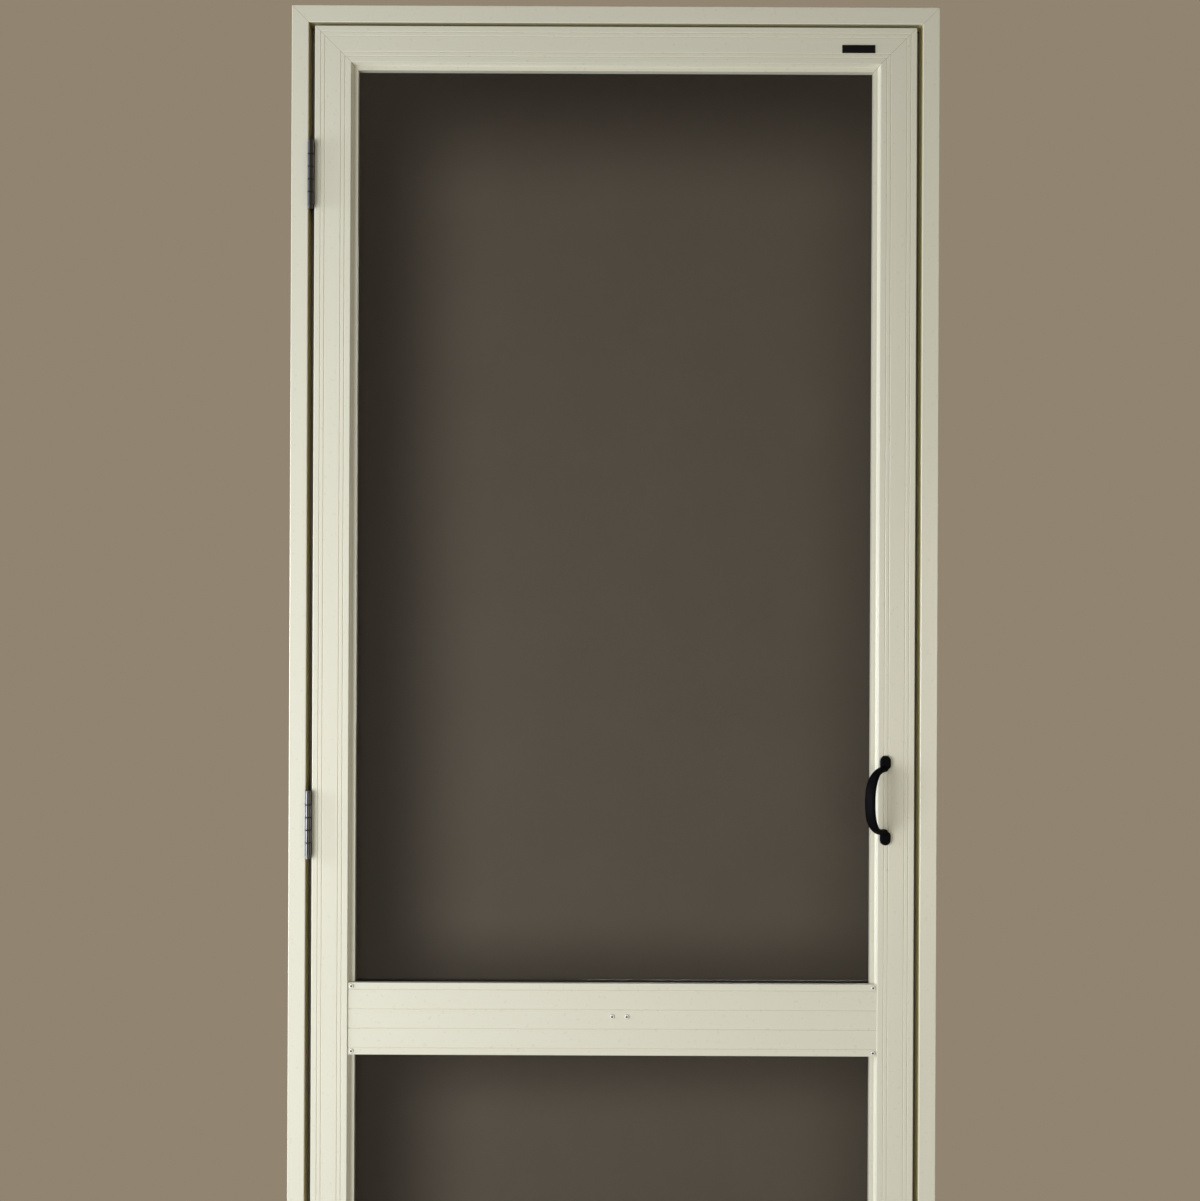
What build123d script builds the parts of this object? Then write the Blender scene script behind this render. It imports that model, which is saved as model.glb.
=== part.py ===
"""A hinged fly screen door: a face-fixed aluminium frame and a mitred leaf with its insect screen.

Millimetres, +Z up, +X from the hinge side to the latch side, +Y from the viewer to the wall.
The origin is on the flat back face of the hinge jamb, in the middle of its width, at the floor.
"""

import os

from build123d import *

# The frame: overall size and section
door_width = 914.0
door_height = 2032.0
frame_face = 24.0
frame_depth = 38.0
frame_wall = 1.6
frame_edge_radius = 1.2
stop_reach = 20.0
stop_thickness = 8.0

# The pile seal and its slot in the stop
seal_inset = 14.0
seal_slot_width = 7.2
seal_slot_depth = 1.5
seal_throat = 5.0
seal_lip = 1.2
seal_side_clearance = 0.15
seal_backing = 1.2
pile_width = 4.2
pile_clearance = 0.5

# Screws that fix the frame to the wall
fixing_hole_radius = 2.25
fixing_inset = 4.9
fixing_end = 176.0
fixing_count = 4
head_fixing_end = 177.0

# The leaf: gaps round it and its section
latch_gap = 8.2
head_gap = 5.0
floor_gap = 14.0
leaf_depth = 25.0
leaf_face = 51.0
leaf_wall = 1.8
leaf_edge_radius = 0.9
bevel_run = 3.0
lip_setback = 8.0
lip_reach = 6.0
lip_thickness = 9.0
groove_width = 1.6
groove_depth = 0.8
outer_groove = 8.5
groove_pair_pitch = 5.7
inner_groove = 8.5

# The insect screen and the cord that holds it in its groove
screen_thickness = 0.4
screen_columns = 8
screen_rows = 20
screen_open_share = 0.6
spline_wall = 1.5
spline_channel_width = 4.5
spline_channel_depth = 5.0
spline_clearance = 0.1
spline_corner_bevel = 1.2

# The middle rail
mid_rail_height = 101.4
mid_rail_centre = 603.0
mid_rail_setback = 1.5
mid_rail_wall = 1.8
mid_rail_flange = 9.0
mid_rail_end_gap = 0.4
mid_rail_back_depth = 5.6
mid_groove_pitch = 27.4
mid_groove_count = 4

# The hinges
barrel_radius = 4.4
hinge_height = 88.9
top_hinge_from_head = 239.0
middle_hinge_level = 878.6
bottom_hinge_level = 222.0
knuckle_count = 5
knuckle_gap = 0.35
knuckle_clearance = 0.5
plate_thickness = 2.3
plate_depth = 22.0
plate_corner_radius = 3.0
pin_radius = 2.0
pin_clearance = 0.05
pin_end_gap = 0.15
pin_head_radius = 3.7
pin_head_height = 1.4
pin_tip_radius = 3.2
pin_tip_height = 5.0

# The pull handle
handle_centre = 914.0
handle_from_edge = 41.0
foot_width = 15.7
foot_length = 19.0
foot_thickness = 5.0
foot_span = 127.0
foot_edge_bevel = 1.5
foot_corner_radius = 4.5
grip_lean = 27.0
grip_stand_off = 30.0
grip_width = 16.0
grip_thickness = 8.0
grip_edge_bevel = 2.5
neck_inset = 17.5
shoulder_drop = 6.0
shoulder_radius = 26.0

# The sweep under the leaf
sweep_width = 12.0
sweep_height = 5.0
sweep_wall = 1.4
sweep_throat = 4.6
sweep_setback = 6.5
sweep_end_gap = 2.0
brush_width = 4.0
brush_floor_gap = 3.0
brush_backing = 1.2
brush_clearance = 0.2

# Places worked out from the sizes above
frame_back_width = frame_face + stop_reach
fixing_pitch = (door_height - 2 * fixing_end) / (fixing_count - 1)
head_fixing_pitch = door_width - 2 * head_fixing_end
hinge_levels = {
    "top": door_height - top_hinge_from_head,
    "middle": middle_hinge_level,
    "bottom": bottom_hinge_level,
}
frame_left = -frame_back_width / 2
frame_right = frame_left + door_width
front = -frame_depth
hinge_gap = 2 * barrel_radius
leaf_left = frame_left + frame_face + hinge_gap
leaf_right = frame_right - frame_face - latch_gap
leaf_top = door_height - frame_face - head_gap
leaf_bottom = floor_gap
leaf_width = leaf_right - leaf_left
leaf_height = leaf_top - leaf_bottom
leaf_centre_x = (leaf_left + leaf_right) / 2
leaf_centre_z = (leaf_bottom + leaf_top) / 2
axis_x = leaf_left - barrel_radius
axis_y = front - barrel_radius
lip_edge = leaf_face + bevel_run + lip_reach
screen_depth = lip_setback + lip_thickness
channel_start = leaf_face + spline_wall
channel_end = channel_start + spline_channel_width
channel_floor = screen_depth - spline_channel_depth
stop_front = frame_depth - stop_thickness
seal_centre = frame_face + seal_inset
seal_base = stop_front + seal_lip + seal_slot_depth
pile_tip = leaf_depth + pile_clearance

RIGHT = Vector(1, 0, 0)
BACK = Vector(0, 1, 0)
UP = Vector(0, 0, 1)


def save(piece, name):
    """Label a finished piece and write it as parts/NAME.step."""
    piece.part.label = name
    export_step(piece.part, f"parts/{name}.step")


def cut_corner(corner, along, inward):
    """Mitre the piece in work: keep what lies beyond the 45 degree plane at a corner."""
    split(bisect_by=Plane(origin=corner, z_dir=along - inward), keep=Keep.TOP)


def member(draw_section, start, inward, along, length, mitre_start=True, mitre_end=True):
    """A length of section from an outer corner, mitred where it meets the next member."""
    with BuildPart() as piece:
        extrude(draw_section(Plane(origin=start, x_dir=inward, z_dir=along)), amount=length)
        if mitre_start:
            cut_corner(start, along, inward)
        if mitre_end:
            cut_corner(start + along * length, -along, inward)
    return piece.part


def frame_section(plane):
    """Section of the frame, x inward and y back: a hollow box and the stop with its slot."""
    with BuildSketch(plane) as section:
        with BuildLine():
            Polyline(
                (0, 0),
                (frame_face, 0),
                (frame_face, stop_front),
                (frame_back_width, stop_front),
                (frame_back_width, frame_depth),
                (0, frame_depth),
                close=True,
            )
        make_face()
        fillet(section.vertices().group_by(Axis.Y)[0], frame_edge_radius)
        with Locations((frame_face / 2, frame_depth / 2)):
            Rectangle(
                frame_face - 2 * frame_wall,
                frame_depth - 2 * frame_wall,
                mode=Mode.SUBTRACT,
            )
        with Locations((seal_centre, stop_front)):
            Rectangle(seal_throat, 2 * seal_lip, mode=Mode.SUBTRACT)
        with Locations((seal_centre, stop_front + seal_lip + seal_slot_depth / 2)):
            Rectangle(seal_slot_width, seal_slot_depth, mode=Mode.SUBTRACT)
    return section.sketch


def seal_section(plane):
    """Section of the pile seal: the backing strip in the slot and the pile towards the leaf."""
    with BuildSketch(plane) as section:
        with Locations((seal_centre, seal_base - seal_backing / 2)):
            Rectangle(seal_slot_width - 2 * seal_side_clearance, seal_backing)
        with Locations((seal_centre, (seal_base + pile_tip) / 2)):
            Rectangle(pile_width, seal_base - pile_tip)
    return section.sketch


def leaf_section(plane):
    """Section of the leaf: a hollow box with V grooves, a bevel and the lip that holds the screen."""
    grooves = [
        outer_groove,
        outer_groove + groove_pair_pitch,
        leaf_face - inner_groove - groove_pair_pitch,
        leaf_face - inner_groove,
    ]
    with BuildSketch(plane) as section:
        with BuildLine():
            Polyline(
                (0, 0),
                (leaf_face, 0),
                (leaf_face + bevel_run, lip_setback),
                (lip_edge, lip_setback),
                (lip_edge, screen_depth),
                (channel_end, screen_depth),
                (channel_end, channel_floor),
                (channel_start, channel_floor),
                (channel_start, screen_depth),
                (leaf_face, screen_depth),
                (leaf_face, leaf_depth),
                (0, leaf_depth),
                close=True,
            )
        make_face()
        fillet(section.vertices().group_by(Axis.Y)[0], leaf_edge_radius)
        with Locations((leaf_face / 2, leaf_depth / 2)):
            Rectangle(
                leaf_face - 2 * leaf_wall,
                leaf_depth - 2 * leaf_wall,
                mode=Mode.SUBTRACT,
            )
        for place in grooves:
            with BuildLine():
                Polyline(
                    (place - groove_width / 2, 0),
                    (place, groove_depth),
                    (place + groove_width / 2, 0),
                    close=True,
                )
            make_face(mode=Mode.SUBTRACT)
    return section.sketch


def spline_section(plane):
    """Section of the rubber cord pressed into the screen channel."""
    low = channel_floor + screen_thickness + spline_clearance
    high = screen_depth - spline_clearance
    left = channel_start + spline_clearance
    right = channel_end - screen_thickness - spline_clearance
    with BuildSketch(plane) as section:
        with Locations(((left + right) / 2, (low + high) / 2)):
            Rectangle(right - left, high - low)
        chamfer(section.vertices(), spline_corner_bevel)
    return section.sketch


def leaf_plane(depth):
    """The plane of the leaf's outline at a depth behind its front, facing the viewer."""
    centre = (leaf_centre_x, front + depth, leaf_centre_z)
    return Plane(origin=centre, x_dir=RIGHT, z_dir=-BACK)


def hinge_plate(level, side, own_knuckles):
    """One hinge plate with its knuckles: side is -1 on the jamb and 1 on the leaf."""
    bottom = level - hinge_height / 2
    pitch = hinge_height / knuckle_count
    plate_front = axis_y + barrel_radius + knuckle_clearance
    plate_back = front + plate_depth
    plate_x = axis_x + side * (barrel_radius - plate_thickness / 2)
    with BuildPart() as plate:
        with BuildSketch(Plane.XY.offset(bottom)):
            with Locations((plate_x, (plate_front + plate_back) / 2)):
                Rectangle(plate_thickness, plate_back - plate_front)
        extrude(amount=hinge_height)
        corners = plate.edges().filter_by(Axis.X).group_by(Axis.Y)[-1]
        fillet(corners, plate_corner_radius)
        for index in own_knuckles:
            with BuildSketch(Plane.XY.offset(bottom + index * pitch + knuckle_gap / 2)):
                with Locations((axis_x, axis_y)):
                    Circle(barrel_radius)
                with Locations((plate_x, (axis_y + plate_front) / 2)):
                    Rectangle(plate_thickness, plate_front - axis_y)
            extrude(amount=pitch - knuckle_gap)
        with Locations((axis_x, axis_y, bottom + hinge_height)):
            Hole(pin_radius + pin_clearance)
    return plate


def hinge_pin(level):
    """The pin with its low head, and the button on its lower end."""
    top = level + hinge_height / 2 + pin_end_gap
    bottom = level - hinge_height / 2 - pin_end_gap
    with BuildPart() as pin:
        with BuildSketch(Plane(origin=(axis_x, axis_y, 0), x_dir=RIGHT, z_dir=-BACK)):
            with BuildLine():
                Polyline(
                    (0, bottom - pin_tip_height),
                    (pin_tip_radius, bottom - pin_tip_height),
                    (pin_tip_radius, bottom),
                    (pin_radius, bottom),
                    (pin_radius, top),
                    (pin_head_radius, top),
                    (pin_head_radius, top + pin_head_height),
                    (0, top + pin_head_height),
                    close=True,
                )
            make_face()
        revolve(axis=Axis((axis_x, axis_y, 0), UP), revolution_arc=360)
    return pin


os.makedirs("parts", exist_ok=True)

# The frame: two jambs and the head, mitred at the top corners
hinge_jamb_foot = Vector(frame_left, front, 0)
head_left = Vector(frame_left, front, door_height)
head_right = Vector(frame_right, front, door_height)
fixing_x = frame_left + frame_face + fixing_inset
latch_fixing_x = frame_right - frame_face - fixing_inset
fixing_middle = door_height / 2
head_fixing_z = door_height - frame_face - fixing_inset


def fixing_holes(place, x_dir, pitch, count):
    """A row of holes through the stop of the piece in work."""
    with Locations(Plane(origin=place, x_dir=x_dir, z_dir=-BACK)):
        with GridLocations(pitch, 0, count, 1):
            Hole(fixing_hole_radius, stop_thickness)


with BuildPart() as frame_hinge_jamb:
    add(member(frame_section, hinge_jamb_foot, RIGHT, UP, door_height, mitre_start=False))
    fixing_holes((fixing_x, front + stop_front, fixing_middle), UP, fixing_pitch, fixing_count)
save(frame_hinge_jamb, "frame_hinge_jamb")

with BuildPart() as frame_latch_jamb:
    add(member(frame_section, head_right, -RIGHT, -UP, door_height, mitre_end=False))
    fixing_holes((latch_fixing_x, front + stop_front, fixing_middle), UP, fixing_pitch, fixing_count)
save(frame_latch_jamb, "frame_latch_jamb")

with BuildPart() as frame_head:
    add(member(frame_section, head_left, -UP, RIGHT, door_width))
    head_middle = ((frame_left + frame_right) / 2, front + stop_front, head_fixing_z)
    fixing_holes(head_middle, RIGHT, head_fixing_pitch, 2)
save(frame_head, "frame_head")

# The pile seals in the stop
with BuildPart() as seal_hinge_side:
    add(member(seal_section, hinge_jamb_foot, RIGHT, UP, door_height, mitre_start=False))
save(seal_hinge_side, "seal_hinge_side")

with BuildPart() as seal_latch_side:
    add(member(seal_section, head_right, -RIGHT, -UP, door_height, mitre_end=False))
save(seal_latch_side, "seal_latch_side")

with BuildPart() as seal_head:
    add(member(seal_section, head_left, -UP, RIGHT, door_width))
save(seal_head, "seal_head")

# The leaf: four mitred members and the cord in the channel of each
leaf_members = {
    "hinge_stile": (Vector(leaf_left, front, leaf_bottom), RIGHT, UP, leaf_height),
    "latch_stile": (Vector(leaf_right, front, leaf_top), -RIGHT, -UP, leaf_height),
    "top_rail": (Vector(leaf_left, front, leaf_top), -UP, RIGHT, leaf_width),
    "bottom_rail": (Vector(leaf_right, front, leaf_bottom), UP, -RIGHT, leaf_width),
}
for name, (start, inward, along, length) in leaf_members.items():
    with BuildPart() as leaf_member:
        add(member(leaf_section, start, inward, along, length))
    save(leaf_member, f"leaf_{name}")
    with BuildPart() as screen_spline:
        add(member(spline_section, start, inward, along, length))
    save(screen_spline, f"spline_{name}")

# The insect screen: a coarse grid for its weave, its edge turned forward into the channel
screen_inset = channel_end - screen_thickness
screen_width = leaf_width - 2 * screen_inset
screen_height = leaf_height - 2 * screen_inset
hem_depth = spline_channel_depth - spline_clearance
column_pitch = screen_width / screen_columns
row_pitch = screen_height / screen_rows
with BuildPart() as insect_screen:
    with BuildSketch(leaf_plane(screen_depth)):
        Rectangle(screen_width, screen_height)
    extrude(amount=-screen_thickness)
    with BuildSketch(leaf_plane(screen_depth)):
        Rectangle(screen_width, screen_height)
        Rectangle(
            screen_width - 2 * screen_thickness,
            screen_height - 2 * screen_thickness,
            mode=Mode.SUBTRACT,
        )
    extrude(amount=hem_depth)
    with BuildSketch(leaf_plane(screen_depth)):
        with GridLocations(column_pitch, row_pitch, screen_columns, screen_rows):
            Rectangle(screen_open_share * column_pitch, screen_open_share * row_pitch)
    extrude(amount=-screen_thickness, mode=Mode.SUBTRACT)
save(insect_screen, "insect_screen")

# The middle rail: a flanged and grooved front half over the lips, a plain back half behind the screen
rail_middle = Vector(leaf_left, front, mid_rail_centre)
rail_depth = screen_depth - mid_rail_setback
flange_depth = lip_setback - mid_rail_setback
rail_core_height = mid_rail_height - 2 * mid_rail_flange
groove_side = groove_depth * 2**0.5
with BuildPart() as mid_rail_front:
    with BuildSketch(Plane(origin=rail_middle, x_dir=-UP, z_dir=RIGHT)):
        for height, depth in ((mid_rail_height, flange_depth), (rail_core_height, rail_depth)):
            with Locations((0, mid_rail_setback + depth / 2)):
                Rectangle(height, depth)
        for height, depth in ((mid_rail_height, flange_depth), (rail_core_height, rail_depth)):
            with Locations((0, mid_rail_setback + depth / 2)):
                Rectangle(
                    height - 2 * mid_rail_wall,
                    depth - 2 * mid_rail_wall,
                    mode=Mode.SUBTRACT,
                )
        with Locations((0, mid_rail_setback)):
            with GridLocations(mid_groove_pitch, 0, mid_groove_count, 1):
                Rectangle(groove_side, groove_side, rotation=45, mode=Mode.SUBTRACT)
    extrude(amount=leaf_width)
    for edge, inward in ((leaf_left, RIGHT), (leaf_right, -RIGHT)):
        foot = Vector(edge, front, mid_rail_centre) + inward * leaf_face
        slope = inward * lip_setback - BACK * bevel_run
        end_plane = Plane(origin=foot, z_dir=slope).offset(mid_rail_end_gap)
        split(bisect_by=end_plane, keep=Keep.TOP)
        notch = Plane(origin=foot + BACK * (lip_setback), x_dir=RIGHT, z_dir=BACK)
        with BuildSketch(notch):
            Rectangle(2 * (lip_edge - leaf_face + mid_rail_end_gap), 2 * mid_rail_height)
        extrude(amount=rail_depth, mode=Mode.SUBTRACT)
save(mid_rail_front, "mid_rail_front")

back_length = leaf_width - 2 * (leaf_face + mid_rail_end_gap)
back_start = Vector(leaf_left + leaf_face + mid_rail_end_gap, front, mid_rail_centre)
with BuildPart() as mid_rail_back:
    with BuildSketch(Plane(origin=back_start, x_dir=-UP, z_dir=RIGHT)):
        with Locations((0, screen_depth + screen_thickness + mid_rail_back_depth / 2)):
            Rectangle(mid_rail_height, mid_rail_back_depth)
        with Locations((0, screen_depth + screen_thickness)):
            Rectangle(
                mid_rail_height - 2 * mid_rail_wall,
                2 * (mid_rail_back_depth - mid_rail_wall),
                mode=Mode.SUBTRACT,
            )
    extrude(amount=back_length)
save(mid_rail_back, "mid_rail_back")

# The hinges
frame_knuckles = range(0, knuckle_count, 2)
leaf_knuckles = range(1, knuckle_count, 2)
for place, level in hinge_levels.items():
    save(hinge_plate(level, -1, frame_knuckles), f"hinge_{place}_frame_plate")
    save(hinge_plate(level, 1, leaf_knuckles), f"hinge_{place}_leaf_plate")
    save(hinge_pin(level), f"hinge_{place}_pin")

# The pull handle: two feet, and a bow that leans towards the screen
handle_x = leaf_right - handle_from_edge
bow_reach = (grip_lean**2 + grip_stand_off**2) ** 0.5
bow_out = Vector(-grip_lean, -grip_stand_off, 0) / bow_reach
bow_plane = Plane(origin=(handle_x, front, handle_centre), x_dir=bow_out, z_dir=bow_out.cross(UP))
foot_plane = Plane(origin=(handle_x, front, handle_centre), x_dir=RIGHT, z_dir=-BACK)
neck_start = foot_span / 2 - neck_inset
shoulder = neck_start - shoulder_drop
with BuildPart() as pull_handle:
    for end in (1, -1):
        tip = (handle_x, front, handle_centre + end * foot_span / 2)
        with BuildSketch(Plane(origin=tip, x_dir=RIGHT * end, z_dir=-BACK)) as foot:
            with Locations((0, -foot_width / 2)):
                Circle(foot_width / 2)
            with Locations((0, -(foot_width / 2 + foot_length) / 2)):
                Rectangle(foot_width, foot_length - foot_width / 2)
            fillet(foot.vertices().group_by(Axis.Y)[0], foot_corner_radius)
        extrude(amount=foot_thickness)
    chamfer(pull_handle.faces().group_by(Axis.Y)[0].edges(), foot_edge_bevel)
    with BuildLine(bow_plane) as bow:
        FilletPolyline(
            (0, neck_start),
            (bow_reach, shoulder),
            (bow_reach, -shoulder),
            (0, -neck_start),
            radius=shoulder_radius,
        )
    bow_start = Plane(origin=bow.line @ 0, x_dir=bow_plane.z_dir, z_dir=bow.line % 0)
    with BuildSketch(bow_start) as bow_section:
        Rectangle(grip_width, grip_thickness)
        chamfer(bow_section.vertices(), grip_edge_bevel)
    sweep()
    split(bisect_by=foot_plane, keep=Keep.TOP)
save(pull_handle, "pull_handle")

# The sweep under the leaf: a slotted holder and its brush
sweep_length = leaf_width - 2 * sweep_end_gap
sweep_start = Vector(leaf_left + sweep_end_gap, front + sweep_setback, leaf_bottom)
sweep_plane = Plane(origin=sweep_start, x_dir=BACK, z_dir=RIGHT)
with BuildPart() as sweep_holder:
    with BuildSketch(sweep_plane):
        with Locations((sweep_width / 2, -sweep_height / 2)):
            Rectangle(sweep_width, sweep_height)
            Rectangle(
                sweep_width - 2 * sweep_wall,
                sweep_height - 2 * sweep_wall,
                mode=Mode.SUBTRACT,
            )
        with Locations((sweep_width / 2, -sweep_height)):
            Rectangle(sweep_throat, 2 * sweep_wall, mode=Mode.SUBTRACT)
    extrude(amount=sweep_length)
save(sweep_holder, "sweep_holder")

brush_top = -sweep_wall - brush_clearance
brush_low = brush_floor_gap - leaf_bottom
with BuildPart() as sweep_brush:
    with BuildSketch(sweep_plane):
        with Locations((sweep_width / 2, brush_top - brush_backing / 2)):
            Rectangle(sweep_width - 2 * (sweep_wall + brush_clearance), brush_backing)
        with Locations((sweep_width / 2, (brush_top + brush_low) / 2)):
            Rectangle(brush_width, brush_top - brush_low)
    extrude(amount=sweep_length)
save(sweep_brush, "sweep_brush")
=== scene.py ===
"""Finish of the fly screen door: paint, enamel, woven screen, screws, pile and the studio stage."""

import math

import bmesh
import bpy
from mathutils import Matrix, Vector


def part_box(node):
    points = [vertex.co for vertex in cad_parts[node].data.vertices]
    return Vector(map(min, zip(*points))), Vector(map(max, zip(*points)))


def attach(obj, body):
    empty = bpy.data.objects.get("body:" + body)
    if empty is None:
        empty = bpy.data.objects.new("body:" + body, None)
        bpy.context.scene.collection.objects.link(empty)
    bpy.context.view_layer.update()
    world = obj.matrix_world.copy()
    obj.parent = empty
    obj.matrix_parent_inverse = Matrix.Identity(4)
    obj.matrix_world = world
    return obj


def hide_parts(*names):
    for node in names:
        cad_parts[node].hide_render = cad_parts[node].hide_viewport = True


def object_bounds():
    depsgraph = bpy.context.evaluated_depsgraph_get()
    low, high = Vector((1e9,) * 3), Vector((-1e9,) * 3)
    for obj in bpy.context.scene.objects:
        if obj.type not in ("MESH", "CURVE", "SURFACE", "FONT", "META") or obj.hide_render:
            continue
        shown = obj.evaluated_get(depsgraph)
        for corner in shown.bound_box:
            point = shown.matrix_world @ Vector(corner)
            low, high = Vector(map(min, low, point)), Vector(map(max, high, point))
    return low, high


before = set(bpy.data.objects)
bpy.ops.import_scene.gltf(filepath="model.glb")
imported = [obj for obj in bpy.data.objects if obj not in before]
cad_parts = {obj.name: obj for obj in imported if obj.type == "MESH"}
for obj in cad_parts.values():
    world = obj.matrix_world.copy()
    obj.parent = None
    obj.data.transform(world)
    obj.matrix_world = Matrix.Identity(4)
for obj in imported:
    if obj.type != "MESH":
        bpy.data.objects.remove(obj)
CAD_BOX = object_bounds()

bl_info = {
    "name": "Fly Screen Door Finish",
    "version": (1, 0, 0),
    "blender": (4, 5, 0),
    "location": "View3D > Sidebar > Screen Door",
    "description": "Dresses a hinged fly screen door: paint, ironmongery, woven screen, seals and stage",
    "category": "Object",
}

MM = 0.001
FRAME_BODY = "door_frame"
LEAF_BODY = "door_leaf"
RIGHT = Vector((1, 0, 0))
BACK = Vector((0, 1, 0))
UP = Vector((0, 0, 1))

HINGES = ("top", "middle", "bottom")
KNUCKLES = 5

# The frame's section
FRAME_FACE = 24.0 * MM
STOP_DEPTH = 8.0 * MM

# The pull handle: its feet, then its bow, which swells from neck to grip over a share of its
# reach, and how finely the casting is fused and smoothed
FOOT_WIDTH = 15.6 * MM
FOOT_LENGTH = 19.4 * MM
FOOT_DEPTH = 5.0 * MM
FOOT_CORNER = 4.5 * MM
DOME = ((0.0, 0.0), (0.45, 0.0), (0.68, 0.035), (0.86, 0.12), (0.97, 0.27), (1.0, 0.45))
GRIP_WIDTH = 16.0 * MM
NECK_WIDTH = 11.0 * MM
BOW_DEPTH = 8.4 * MM
BOW_HALF_SPAN = 44.3 * MM
BOW_ROUNDNESS = 2.5
BOW_LEAN = Vector((-27.0, -30.0, 0.0)) * MM
SWELL_FROM = 0.45
SWELL_OVER = 0.53
HANDLE_VOXEL = 0.62 * MM
HANDLE_PASSES = 6
HANDLE_SCREW_SPREAD = 54.0 * MM
HANDLE_SCREW_INSET = 7.85 * MM

# Places of the screws
RAIL_SCREW_FROM_END = 4.6 * MM
RAIL_SCREW_FROM_EDGE = 4.8 * MM
MIDDLE_SCREW_RISE = 4.0 * MM
MIDDLE_SCREW_GAP = 20.6 * MM
FIXING_INSET = 28.9 * MM
FIXING_LEVELS = (176 * MM, 736 * MM, 1296 * MM, 1856 * MM)
HEAD_FIXING_FROM_END = 177 * MM
HINGE_PLATE_THICKNESS = 2.3 * MM
HINGE_SCREW_ROW = 28.0 * MM
HINGE_SCREW_FROM_BACK = 11.0 * MM
HINGE_SCREW_STAGGER = 2.6 * MM

# The blank plate
PLATE_FROM_MIDDLE = 341.9 * MM
PLATE_FROM_TOP = 30.5 * MM
PLATE_THICKNESS = 0.9 * MM
PLATE_EDGE = 0.3 * MM

# Rows of tufts on the seals and on the brush
PILE_ROW = 1.5 * MM
PILE_ROOT = 1.2 * MM
PILE_LENGTH = 1.55 * MM
PILE_ENDS = 8.0 * MM
BRUSH_ROW = 1.4 * MM
BRUSH_ROOT = 2.5 * MM
BRUSH_LENGTH = 3.9 * MM
BRUSH_ENDS = 2.0 * MM

# Linear colours of small parts, and of painted light and shade: in the frame's reveal, on the hinge
# barrels, on the screen's wires and in screw recesses
HEAD_REVEAL_SHADE = (0.50, 0.46, 0.28, 1.0)
LATCH_REVEAL_LIT = (0.88, 0.82, 0.46, 1.0)
HINGE_REVEAL_SHADE = (0.42, 0.335, 0.125, 1.0)
REVEAL_DEEP_SHADE = (0.02, 0.018, 0.012, 1.0)
HINGE_BARREL_HIGHLIGHT = (0.10, 0.115, 0.135, 1.0)
SCREEN_LIGHT_DIM = (0.096, 0.081, 0.062, 1.0)
SCREEN_LIGHT_BRIGHT = (0.112, 0.096, 0.075, 1.0)
RUBBER = (0.018, 0.018, 0.018, 1.0)
RUBBER_BLOOM = (0.045, 0.044, 0.042, 1.0)
RECESS_SHADE = (0.006, 0.005, 0.004, 1.0)
RAIL_SCREW_PAINT = (0.86, 0.84, 0.74, 1.0)
FIXING_SCREW_PAINT = (0.60, 0.585, 0.48, 1.0)
HANDLE_SCREW_BLACK = (0.02, 0.02, 0.021, 1.0)
HINGE_SCREW_BLACK = (0.014, 0.014, 0.015, 1.0)

# The floor beyond the door's box at the sides, in front and behind, in metres
FLOOR_SIDE = 3.2
FLOOR_FRONT = 3.4
FLOOR_BEHIND = 0.68

# The world's light
WORLD_COLOUR = (1.0, 0.98, 0.94, 1.0)
WORLD_STRENGTH = 0.21

# Lamps: name, place and target from the floor under the door's middle, width and height,
# power in watts, colour, spread in degrees
LAMPS = (
    ("left window", (-2.1, -1.7, 0.5), (0, 0, 0.72), (1.5, 1.7), 43.5, (0.97, 1, 1.07), 130),
    ("side window", (-2.5, -0.35, 1.4), (-0.4, 0, 1.25), (0.5, 1.1), 13, (0.93, 0.98, 1.08), 120),
    ("front fill", (1.9, -2.6, 0.8), (0, 0, 0.8), (1.6, 1.6), 13, (1, 0.93, 0.78), 150),
    ("back fill", (0.8, 3.0, 1.6), (0, 0, 1.0), (1.8, 1.8), 26, (1, 0.98, 0.95), 150),
)

# The camera: metres, and its roll in degrees
CAMERA_DISTANCE = 1.9
CAMERA_LEVEL = 1.194
CAMERA_SHIFT = -0.0195
CAMERA_ROLL = 0.24
PICTURE_WIDTH = 1.693
FACE_BEHIND_HANDLE = 0.037

UPRIGHT_PAINTED = ("frame_hinge_jamb", "frame_latch_jamb", "leaf_hinge_stile", "leaf_latch_stile")
LEVEL_PAINTED = (
    "frame_head",
    "leaf_top_rail",
    "leaf_bottom_rail",
    "mid_rail_front",
    "mid_rail_back",
    "sweep_holder",
)
SPLINES = (
    "spline_top_rail",
    "spline_bottom_rail",
    "spline_hinge_stile",
    "spline_latch_stile",
)


def length_property(name, description, default):
    """A property in metres."""
    return bpy.props.FloatProperty(
        name=name, description=description, default=default, unit="LENGTH"
    )


def colour_property(name, description, default):
    """A property for a linear colour."""
    return bpy.props.FloatVectorProperty(
        name=name, description=description, default=default, size=4, subtype="COLOR"
    )


class DoorSizes(bpy.types.PropertyGroup):
    """Sizes of the pieces that this file makes."""

    wire_pitch: length_property(
        "Wire pitch", "Distance between neighbouring wires of the screen", 1.25 * MM
    )
    wire_width: length_property(
        "Wire width", "Width of a coated wire of the screen", 0.91 * MM
    )
    wire_depth: length_property(
        "Wire depth", "Thickness of a coated wire, front to back", 0.22 * MM
    )
    rail_screw_radius: length_property(
        "Rail screw radius", "Radius of the pan heads on the middle rail", 3.2 * MM
    )
    fixing_screw_radius: length_property(
        "Fixing screw radius", "Radius of the countersunk heads in the stop", 3.9 * MM
    )
    hinge_screw_radius: length_property(
        "Hinge screw radius", "Radius of the countersunk heads in the hinge plates", 3.5 * MM
    )
    plate_length: length_property(
        "Plate length", "Length of the blank plate on the top rail", 46.5 * MM
    )
    plate_height: length_property(
        "Plate height", "Height of the blank plate on the top rail", 11.5 * MM
    )
    tuft_pitch: length_property(
        "Tuft pitch", "Distance between the tufts of pile and brush along their strips", 2.0 * MM
    )


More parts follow.
